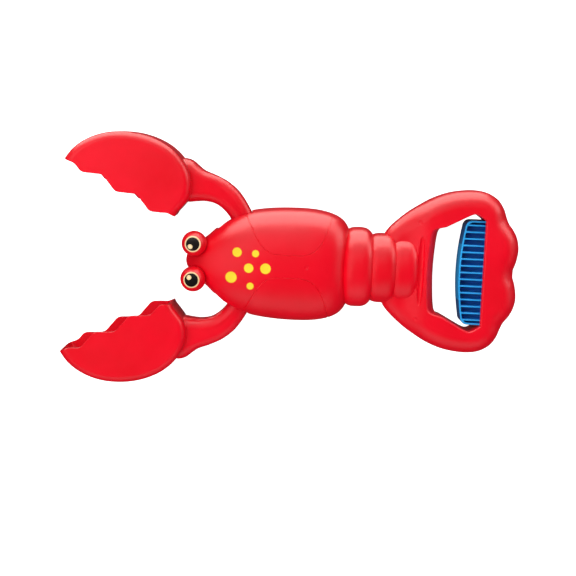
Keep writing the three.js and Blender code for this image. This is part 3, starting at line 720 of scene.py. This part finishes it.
def makeClaw(name):
    c = clawShape
    half, rounding = c["scoopHalfHeight"], c["scoopRounding"]
    claw = pillow(name, scoopLoop(340), half, rounding, 0, 9)
    combine(claw, [armSolid("arm", 0, 260, 9)], "UNION")
    core = armSolid("armCore", c["wall"], 140, 4)
    rootward = pivot[0] - c["hubRadius"] - c["solidRoot"]
    coreEnd = block("coreEnd", (-beyond, rootward), (-beyond, beyond), (-60, 60))
    combine(core, [coreEnd], "INTERSECT")
    inside = pillow("scoopInside", scoopLoop(240), half, rounding, c["wall"], 6)
    teeth = [
        toothCutter("upperTeeth", c["toothTip"], True),
        toothCutter("lowerTeeth", c["toothTip"] + c["toothPitch"] / 2, False),
    ]
    combine(claw, [core, inside] + teeth, "DIFFERENCE")
    reach = pivot[1]
    eye = pivot + np.array([math.tan(openTurn / 2) * reach, -reach])
    away = (eye - pivot) / np.linalg.norm(eye - pivot)
    hub = prism("hub", circle(*pivot, c["hubRadius"], 64), -c["hubHalfHeight"], c["hubHalfHeight"])
    combine(claw, [hub, prism("lever", strip(pivot, eye, c["leverEnd"]), *c["lever"])], "UNION")
    room = c["pegRoom"]
    slotEnds = [pivot + away * (reach - room), pivot + away * (reach / math.cos(openTurn / 2) + room)]
    slot = prism("slot", strip(*slotEnds, c["peg"] + room), -30, 30)
    bore = prism("bore", circle(*pivot, c["postRadius"] + c["clearance"], 48), -30, 30)
    combine(claw, [slot, bore], "DIFFERENCE")
    keepLargest(claw)
    turnAbout(claw, (*pivot, 0), -openTurn, "Z")
    return claw


clawLeft = makeClaw("clawLeft")
clawRight = copyOf(clawLeft, "clawRight")
turnAbout(clawRight, (0, 0, 0), math.pi, "X")  # the same moulding, turned over
finishPiece(clawLeft, [redClawPlastic], "left_claw", ["claw_left"])
finishPiece(clawRight, [redClawPlastic], "right_claw", ["claw_right"])
print("claws made")

# What the shells are cut for: eyes, screws, the trigger, the arms and the grooves.
eyeShape = {
    "centre": (-67.1, 12.6, 14.5), "radius": 9.0, "seat": 0.25, "peg": 2.0, "pegLength": 5.0,
    "pegShift": (1, -3),
}
screwPlaces = {
    "head_screw": (-52, 0, -11), "body_screw": (13, 0, -11),
    "loop_screw_left": (90.5, 35, -7), "loop_screw_right": (90.5, -35, -7),
    "fan_screw_left": (157.4, 17, -7), "fan_screw_right": (157.4, -17, -7),
    "pivot_screw_left": (-27, 15.5, -13.5), "pivot_screw_right": (-27, -15.5, -13.5),
}
screwShape = {
    "shank": 1.2, "head": 2.8, "headHeight": 1.9, "reach": 14.0, "point": 2.0, "room": 0.4, "boss": 4.6,
    "headCurve": [(0.55, 0.98), (0.8, 0.85), (0.95, 0.6), (1.0, 0.25)], "recessHalf": 0.35,
    "pitch": 0.55, "threadHalf": 0.14, "root": 0.78,
}
armWindowShape = {"room": 0.8, "above": 1.2, "reach": 46}
gripSlot = {"x": (138.0, 149.8), "halfWidth": 38.8, "halfHeight": 10.4}


# The gap that the arm sweeps through, from open to shut.
def armWindow(name, side):
    a = np.radians(np.linspace(40, -156, 20))
    hub = np.stack([clawShape["hubRadius"] * np.cos(a), clawShape["hubRadius"] * np.sin(a)], 1)

    def near(points):
        far = np.linalg.norm(points, axis=1)
        return points[(far > clawShape["hubRadius"]) & (far < armWindowShape["reach"])]

    inner = near(smoothCurve(clawShape["armInner"], 60) - pivot)
    shut = smoothCurve(clawShape["armOuter"], 60) - pivot
    c, s = math.cos(-openTurn), math.sin(-openTurn)
    opened = near(shut @ np.array([[c, s], [-s, c]]))
    loop = turnsLeft(np.vstack([opened, hub, inner]))
    normal, _along = inwards(loop)
    grown = loop - normal * armWindowShape["room"] + pivot
    if side < 0:
        grown = (grown * [1, -1])[::-1]
    height = clawShape["rootHalfHeight"] + armWindowShape["above"]
    return prism(name, grown, -height, height)


panelGroove = {
    "path": [
        (-31.5, 34.5), (-28, 28.5), (-22.5, 18.4), (-17.8, 12.6), (-12, 8.8), (-5, 8), (4, 8.1), (12, 8.6),
        (19, 12.2), (24.3, 20), (27.6, 29), (29.6, 36),
    ],
    "radius": 0.42, "endSlides": (-2.2, 0.8),
}
sinkMarks = {"places": [(13, 0), (90.5, 35), (90.5, -35)], "radius": 5.0, "depth": 0.32}


def groovePoints(side):
    path = smoothCurve(panelGroove["path"], 150)
    power = shellShape["squareness"]
    sideCurve, topCurve, _belly = bodyProfiles
    share = np.clip(np.abs(path[:, 1]) / sideCurve.at(path[:, 0]), 0, 1) ** (power / 2)
    angle = np.arccos(np.clip(share, 0, 1))
    x = path[:, 0]
    for end in (0, -1):  # carried on down the side to the parting plane
        more = np.linspace(angle[end], 0.02, 24)[1:]
        slide = np.linspace(0, panelGroove["endSlides"][end], 24)[1:]
        if end == 0:
            angle, x = np.concatenate([more[::-1], angle]), np.concatenate([(x[0] + slide)[::-1], x])
        else:
            angle, x = np.concatenate([angle, more]), np.concatenate([x, x[-1] + slide])
    y = sideCurve.at(x) * np.cos(angle) ** (2 / power)
    z = topCurve.at(x) * np.sin(angle) ** (2 / power)
    return np.stack([x, side * y, z], 1)


tools = []
for side in (1, -1):
    tools.append(armWindow(f"window{side}", side))
    centre = np.array(eyeShape["centre"]) * [1, side, 1]
    tools.append(ball(f"socket{side}", centre, eyeShape["radius"] + eyeShape["seat"], 72, 48))
    tools.append(tube(f"groove{side}", groovePoints(side), panelGroove["radius"], 8))
slotX, half, tall = gripSlot["x"], gripSlot["halfWidth"], gripSlot["halfHeight"]
tools.append(block("gripSlot", slotX, (-half, half), (-tall, tall)))
bodyEnd = shellShape["side"][-1][0]
for i, (x, y) in enumerate(sinkMarks["places"]):
    z = bodyHeight(x, y) if x < bodyEnd else handleShape["halfThickness"] * handleShare(x)
    lift = sinkMarks["radius"] - sinkMarks["depth"]
    tools.append(ball(f"sink{i}", (x, y, z + lift), sinkMarks["radius"], 40, 40))
combine(outer, tools, "DIFFERENCE")
bosses = []
for name, (x, y, _seat) in screwPlaces.items():
    low = -21.7 if x < bodyEnd else -9.8
    top = -clawShape["hubHalfHeight"] - clawShape["clearance"] if "pivot" in name else -0.2
    bosses.append(prism(f"boss_{name}", circle(x, y, screwShape["boss"], 40), low, top))
combine(outer, bosses, "UNION")
holes = []
holeRadius = screwShape["head"] + screwShape["room"]
for name, (x, y, seat) in screwPlaces.items():
    holes.append(prism(f"hole_{name}", circle(x, y, holeRadius, 40), -30, seat))
combine(outer, holes, "DIFFERENCE")
shellTop, shellBottom = outer, copyOf(outer, "shellBottom")
shellTop.name = "shellTop"
halfSeam = shellShape["seam"] / 2
allOver = (-beyond, beyond)
combine(shellTop, [block("above", allOver, allOver, (halfSeam, beyond))], "INTERSECT")
combine(shellBottom, [block("below", allOver, allOver, (-beyond, -halfSeam))], "INTERSECT")
keepLargest(shellTop)
keepLargest(shellBottom)
finishPiece(shellTop, [redPlastic], "shell", ["shell_top"])
finishPiece(shellBottom, [redPlastic], "shell", ["shell_bottom"])
print("shells made", len(shellTop.data.polygons), len(shellBottom.data.polygons))

# Yellow spots printed on the upper shell, each with a thin orange rim.
spotPrint = {
    "spots": [
        (-36.3, 8.6, 3.5), (-23.3, 8.3, 2.7), (-27.7, -2.1, 3.5), (-15.9, -1.9, 3.9), (-39.9, -9.3, 4.2),
        (-26.2, -14.8, 2.7),
    ],
    "thickness": 0.06, "sunk": 0.25, "rim": 0.3,
}


def printedSpots(name):
    verts, faces, rimFaces = [], [], []
    around, thickness = 56, spotPrint["thickness"]
    for x, y, radius in spotPrint["spots"]:
        base = len(verts)
        reaches = [0.001, 0.25, 0.5, 0.75, 1 - spotPrint["rim"] / radius, 1.0]
        for lift in (thickness, -spotPrint["sunk"]):
            for reach in reaches:
                drop = thickness * 0.6 if lift > 0 and reach == 1 else 0.0
                for i in range(around):
                    a = 2 * math.pi * i / around
                    px, py = x + radius * reach * math.cos(a), y + radius * reach * math.sin(a)
                    verts.append((px, py, bodyHeight(px, py) + lift - drop))
        rows = len(reaches)
        for k in range(rows - 1):
            for i in range(around):
                j = (i + 1) % around
                a, b = base + k * around, base + (k + 1) * around
                if k == rows - 2:
                    rimFaces.append(len(faces))
                faces.append([a + i, b + i, b + j, a + j])
                a, b = a + rows * around, b + rows * around
                faces.append([a + j, b + j, b + i, a + i])
        top, low = base + (rows - 1) * around, base + (2 * rows - 1) * around
        for i in range(around):
            j = (i + 1) % around
            faces.append([top + i, low + i, low + j, top + j])
        faces.append([base + i for i in range(around)])
        faces.append([base + rows * around + i for i in range(around)][::-1])
    spots = makeObject(name, verts, faces)
    for i in rimFaces:
        spots.data.polygons[i].material_index = 1
    return spots


spots = printedSpots("paintSpots")
finishPiece(spots, [yellowInk, orangeInk], "shell", [], 60)

# Eyes: polished balls with a printed ring, pupil and glint.
eyePrint = {
    "towards": (-0.8, 0.1), "ring": 5.7, "pupil": 4.75,
    "glint": (-1.55, -1.85, 1.75), "speck": (-1.5, -1.9, 0.75),
}


# A round printed patch on a ball, a few hundredths of a millimetre thick.
def ballPatch(centre, radius, direction, reach, lift, ink):
    d = Vector(direction).normalized()
    u = d.orthogonal().normalized()
    v = d.cross(u)
    around, rows = 64, 10
    limit = math.asin(reach / radius)
    verts, faces = [], []
    for depth in (radius + lift, radius - 0.3):
        for k in range(rows + 1):
            t = limit * max(k / rows, 0.001)
            for i in range(around):
                a = 2 * math.pi * i / around
                aside = u * math.cos(a) + v * math.sin(a)
                verts.append(tuple(Vector(centre) + depth * (d * math.cos(t) + math.sin(t) * aside)))
    side = (rows + 1) * around
    for k in range(rows):
        for i in range(around):
            j = (i + 1) % around
            a, b = k * around, (k + 1) * around
            faces.append([a + i, b + i, b + j, a + j])
            faces.append([side + a + j, side + b + j, side + b + i, side + a + i])
    edge = rows * around
    for i in range(around):
        j = (i + 1) % around
        faces.append([edge + i, side + edge + i, side + edge + j, edge + j])
    faces.append(list(range(around)))
    faces.append([side + i for i in range(around)][::-1])
    patch = makeObject("patch", verts, faces)
    patch.data.materials.append(ink)
    return patch


def joinObjects(name, pieces, materials):
    bm = bmesh.new()
    for piece in pieces:
        index = materials.index(piece.data.materials[0])
        start = len(bm.faces)
        bm.from_mesh(piece.data)
        bm.faces.ensure_lookup_table()
        for f in bm.faces[start:]:
            f.material_index = index
        bpy.data.objects.remove(piece)
    mesh = bpy.data.meshes.new(name)
    bm.to_mesh(mesh)
    bm.free()
    made = bpy.data.objects.new(name, mesh)
    scene.collection.objects.link(made)
    return made


def makeEye(name, side, node):
    centre = np.array(eyeShape["centre"]) * [1, side, 1]
    radius = eyeShape["radius"]
    eye = ball(name, centre, radius, 96, 64)
    shiftX, shiftY = eyeShape["pegShift"]
    pegLoop = circle(centre[0] + shiftX, centre[1] + side * shiftY, eyeShape["peg"], 32)
    peg = prism("peg", pegLoop, centre[2] - radius - eyeShape["pegLength"], centre[2])
    combine(eye, [peg], "UNION")
    finishPiece(eye, [redPolished], "shell", [node])
    dx, dy = eyePrint["towards"]

    def facing(x, y):
        x, y = x + dx, (y + dy) * side
        return (x, y, math.sqrt(radius**2 - x * x - y * y))

    gx, gy, glint = eyePrint["glint"]
    sx, sy, speck = eyePrint["speck"]
    patches = [
        ballPatch(centre, radius, facing(0, 0), eyePrint["ring"], 0.03, creamInk),
        ballPatch(centre, radius, facing(0, 0), eyePrint["pupil"], 0.05, blackInk),
        ballPatch(centre, radius, facing(gx, gy), glint, 0.07, creamInk),
        ballPatch(centre, radius, facing(sx, sy), speck, 0.09, glintInk),
    ]
    inks = [creamInk, blackInk, glintInk]
    printed = joinObjects(name + "Print", patches, inks)
    finishPiece(printed, inks, "shell", [], 60)


makeEye("eyeLeft", 1, "eye_left")
makeEye("eyeRight", -1, "eye_right")
print("eyes made")

# The trigger: a ribbed grip, open above and below, with a yoke that runs forward to the pull bar.
gripShape = {
    "front": 121.5, "rear": 141.0, "bow": 4.0, "halfWidth": 37.3, "halfHeight": 10.0, "corner": 5.0,
    "ease": 0.6, "wall": 1.2, "web": 2.4, "ribs": 15, "ribPitch": 4.84, "rib": 1.0, "ribEase": 0.28,
    "leastPocket": 0.6, "crossBar": (2.4, 38),
    "yoke": (0.15, 3.75), "yokeWidth": 3.8, "yokeNeck": 3.4, "neckSpan": (88, 99), "link": (62.0, 3.0),
    "route": [
        (142.2, 36.4), (141.1, 41), (136, 45), (127, 47.4), (116, 47.4), (106, 43.6), (99.8, 38.4),
        (97, 34.8),
        (95, 31.9), (92.6, 29), (88, 27.4), (80, 25.4), (72, 17.4), (66.5, 8.5), (62, 0),
    ],
}


def gripLoop(shrink):
    g = gripShape
    half, front = g["halfWidth"] - shrink, g["front"] + shrink
    y = np.linspace(0, half - g["corner"], 30)
    bow = np.stack([front + g["bow"] * (y / g["halfWidth"]) ** 2, y], 1)
    a = np.radians(np.linspace(8, 90, 12))
    corner = bow[-1] + np.stack([g["corner"] * (1 - np.cos(a)), g["corner"] * np.sin(a)], 1)
    halfLoop = np.vstack([bow[1:], corner, [(g["rear"], half)]])
    return turnsLeft(np.vstack([mirroredLoop(halfLoop), bow[:1]]))


# A plate whose upper and lower edges are eased.
def easedPrism(name, loop, halfHeight, ease):
    normal, _along = inwards(loop)
    rings = []
    for t in (90, 60, 30, 0):
        inset = ease * (1 - math.cos(math.radians(t)))
        z = halfHeight - ease + ease * math.sin(math.radians(t))
        rings.append((loop + normal * inset, z))
    return stackRings(name, [level(p, -z) for p, z in rings] + [level(p, z) for p, z in rings[::-1]])


def yokeArm(name, side):
    g = gripShape
    route = smoothCurve(g["route"], 120)
    along = np.gradient(route, axis=0)
    along /= np.linalg.norm(along, axis=1)[:, None]
    normal = np.stack([-along[:, 1], along[:, 0]], 1)
    a, b = g["neckSpan"]
    wide = smoothStep(np.abs(route[:, 0] - (a + b) / 2), (b - a) * 0.35, (b - a) * 0.65)
    half = (g["yokeNeck"] + (g["yokeWidth"] - g["yokeNeck"]) * wide) / 2
    loop = np.vstack([route + normal * half[:, None], (route - normal * half[:, None])[::-1]])
    return prism(name, turnsLeft(loop * [1, side]), *g["yoke"])


# Pockets open to the top and the bottom, with the web between them and a rib at every pitch.
def pocketCutter(name, up, row):
    g = gripShape
    y0 = (row - (g["ribs"] + 1) / 2) * g["ribPitch"] + g["rib"] / 2
    y1 = y0 + g["ribPitch"] - g["rib"]
    inner = gripLoop(g["wall"])
    front = inner[inner[:, 0] < g["rear"] - 1]
    front = front[np.argsort(front[:, 1])]
    y0, y1 = max(y0, -g["halfWidth"] + g["wall"]), min(y1, g["halfWidth"] - g["wall"])
    if y1 - y0 < g["leastPocket"]:
        return None
    y = np.linspace(y0, y1, 9)
    edge = np.stack([np.interp(y, front[:, 1], front[:, 0]), y], 1)
    rear = g["rear"] - g["wall"]
    loop = turnsLeft(np.vstack([edge, [(rear, y1), (rear, y0)]]))
    ease, floorHeight, top = g["ribEase"], g["web"] / 2, g["halfHeight"]
    normal, _along = inwards(loop)
    rings = [level(loop + normal * 0.25, floorHeight), level(loop, floorHeight + 0.4)]
    rings.append(level(loop, top - ease))
    for t in (0.6, 1.1, 1.5):
        rings.append(level(loop - normal * ease * (1 - math.cos(t)), top - ease + ease * math.sin(t)))
    rings.append(level(loop - normal * ease, top + 2))
    if not up:
        rings = [ring * [1, 1, -1] for ring in rings]
    return stackRings(name, rings)


g = gripShape
trigger = easedPrism("trigger", gripLoop(0), g["halfHeight"], g["ease"])
rows = range(g["ribs"] + 1)
pockets = [pocketCutter(f"pocket{up}{row}", up, row) for up in (True, False) for row in rows]
combine(trigger, [p for p in pockets if p], "DIFFERENCE")
linkX, linkRadius = g["link"]
barDepth, barHalf = g["crossBar"]
yokeParts = [
    block("crossBar", (g["rear"] - 1, g["rear"] + barDepth), (-barHalf, barHalf), g["yoke"]),
    yokeArm("yokeLeft", 1), yokeArm("yokeRight", -1),
    prism("yokePlate", strip((linkX, 0), (linkX + 6, 0), 6), *g["yoke"]),
    prism("hook", circle(linkX, 0, linkRadius, 40), g["yoke"][0], 7.65),
]
combine(trigger, yokeParts, "UNION")
# Painted shade: a darker blue on the web at the floor of the pockets, where shade falls. The same mask also
# catches the outer end walls and front corners.
for f in trigger.data.polygons:
    x, _y, z = f.center / mm
    if abs(z - partingHeight) < g["web"] / 2 + 0.4 and g["front"] + g["wall"] < x < g["rear"] - g["wall"]:
        f.material_index = 1
finishPiece(trigger, [bluePlastic, bluePocketShade], "trigger_slide_body", ["trigger"])
print("trigger made")

# A pan-head screw with a cross recess and a ridged shank, head down.
def makeScrew(name, x, y, seat):
    s = screwShape
    head, tall = s["head"], s["headHeight"]
    root, ridge, straight = s["shank"] * s["root"], s["threadHalf"], s["reach"] - s["point"]
    profile = [(0.3, -tall)] + [(head * r, -tall * z) for r, z in s["headCurve"]]
    profile += [(head, 0.0), (s["shank"], 0.0)]
    for i in range(int(straight / s["pitch"])):
        z = s["pitch"] * (i + 0.5)
        profile += [(root, z - ridge), (s["shank"], z + ridge)]
    profile += [(root, straight)]
    rings = [level(circle(0, 0, r, 36), z) for r, z in profile]
    screw = stackRings(name, rings, (0, 0, -tall), (0, 0, s["reach"]))
    arm, half = head * 0.55, s["recessHalf"]
    cross = [
        block("recessA", (-arm, arm), (-half, half), (-tall - 1, -tall + 1)),
        block("recessB", (-half, half), (-arm, arm), (-tall - 1, -tall + 1)),
    ]
    combine(screw, cross, "DIFFERENCE")
    screw.data.transform(Matrix.Translation(Vector((x, y, seat)) * mm))
    return screw


for name, (x, y, seat) in screwPlaces.items():
    parts = name.split("_")
    screw = makeScrew(parts[0] + "".join(p.capitalize() for p in parts[1:]), x, y, seat)
    finishPiece(screw, [zincSteel], "shell", [name], 40)

springShape = {"x": (24.6, 42.3), "radius": 3.4, "wire": 0.45, "coils": 7, "z": -1.4, "travel": 7.7}
front, rear = springShape["x"]
wire, coilRadius = springShape["wire"], springShape["radius"]
t = np.linspace(0, 1, 260)
angle = 2 * math.pi * springShape["coils"] * t
coil = np.stack([
    front + wire + (rear - front - 2 * wire) * t,
    coilRadius * np.cos(angle), springShape["z"] + coilRadius * np.sin(angle),
], 1)
spring = tube("returnSpring", coil, wire, 12)
finishPiece(spring, [zincSteel], "shell", ["return_spring"], 60)
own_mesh(spring)

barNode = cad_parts["pull_bar"]
barNode.data.materials.clear()
barNode.data.materials.append(whiteNylon)
print("small pieces made")

# A pale floor that doesn't tint the plastic, soft lights and the camera.
floorShape = {"reach": 6.0, "height": -0.0004, "glow": 1.0}  # metres
floorMesh = bpy.data.meshes.new("floor")
corners = [(-1, -1), (1, -1), (1, 1), (-1, 1)]
floorPoints = [(x * floorShape["reach"], y * floorShape["reach"], floorShape["height"]) for x, y in corners]
floorMesh.from_pydata(floorPoints, [], [(0, 1, 2, 3)])
floor = bpy.data.objects.new("floor", floorMesh)
scene.collection.objects.link(floor)
floorLook, nodes, links, shader = nodeMaterial("paleFloor")
coords = nodes.new("ShaderNodeTexCoord")
mottle = noiseNode(nodes, links, coords, 3.0)
paper = rampNode(nodes, links, mottle.outputs["Fac"], (0.93, 0.93, 0.93), (0.95, 0.95, 0.95))
links.new(paper.outputs["Color"], shader.inputs["Base Color"])
shader.inputs["Roughness"].default_value = 0.9
shader.inputs["Specular IOR Level"].default_value = 0.1
shader.inputs["Emission Color"].default_value = (1, 1, 1, 1)
shader.inputs["Emission Strength"].default_value = floorShape["glow"]
floorMesh.materials.append(floorLook)
floor.visible_diffuse = floor.visible_glossy = floor.visible_shadow = False

neutral = (1.0, 1.0, 1.0)
lightSetup = {
    "world": 0.05,
    # Place, aim, width, height, power in watts, colour, whether it lights, whether it shows in gloss.
    "softboxes": [
        ((-0.15, 1.0, 0.0), (0.0, 0.0, 0.02), 1.8, 1.25, 39, (1.0, 0.93, 0.86), False, True),
        ((0.9, 0.6, 0.25), (0.1, 0.0, 0.02), 0.8, 0.6, 5, (1.0, 0.95, 0.9), False, True),
        ((-0.3, 0.75, 1.4), (0.0, 0.0, 0.0), 1.4, 1.4, 9, neutral, True, False),
        ((0.0, 0.95, 0.55), (0.0, 0.0, 0.02), 1.8, 0.8, 8, neutral, True, False),
        ((0.0, -0.95, 0.55), (0.0, 0.0, 0.02), 1.8, 0.8, 8.5, neutral, True, False),
        ((-0.7, 0.0, 0.9), (0.1, 0.0, 0.02), 0.8, 0.8, 5, neutral, True, False),
        ((1.0, 0.2, 0.3), (0.0, 0.0, 0.02), 1.0, 0.6, 3, neutral, True, False),
    ],
}
world = bpy.data.worlds.new("studio")
scene.world = world
world.use_nodes = True
sky = world.node_tree.nodes["Background"]
sky.inputs["Color"].default_value = (1, 1, 1, 1)
sky.inputs["Strength"].default_value = lightSetup["world"]
for i, (place, aim, width, height, power, colour, lights, glossy) in enumerate(lightSetup["softboxes"]):
    light = bpy.data.lights.new(f"softbox{i}", "AREA")
    light.shape, light.size, light.size_y = "RECTANGLE", width, height
    light.energy, light.color = power, colour
    lamp = bpy.data.objects.new(f"softbox{i}", light)
    lamp.location, lamp.visible_diffuse, lamp.visible_glossy = place, lights, glossy
    lamp.rotation_euler = (Vector(aim) - Vector(place)).to_track_quat("-Z", "Y").to_euler()
    scene.collection.objects.link(lamp)

# Places in millimetres from the floor, roll in degrees.
cameraSetup = {"eye": (-5.0, 94.0, 985.0), "target": (0.6, -17.8, 23.0), "roll": 2.6, "lens": 84.0}
cameraData = bpy.data.cameras.new("camera")
cameraData.lens, cameraData.sensor_width = cameraSetup["lens"], 36.0
camera = bpy.data.objects.new("camera", cameraData)
scene.collection.objects.link(camera)
eyePoint, target = Vector(cameraSetup["eye"]) * mm, Vector(cameraSetup["target"]) * mm
back = (eyePoint - target).normalized()
roll = math.radians(cameraSetup["roll"])
up = Vector((-math.sin(roll), math.cos(roll), 0))
up = (up - up.dot(back) * back).normalized()
right = up.cross(back)
camera.matrix_world = Matrix((
    (right.x, up.x, back.x, eyePoint.x),
    (right.y, up.y, back.y, eyePoint.y),
    (right.z, up.z, back.z, eyePoint.z),
    (0, 0, 0, 1),
))
scene.camera = camera
print("stage set")
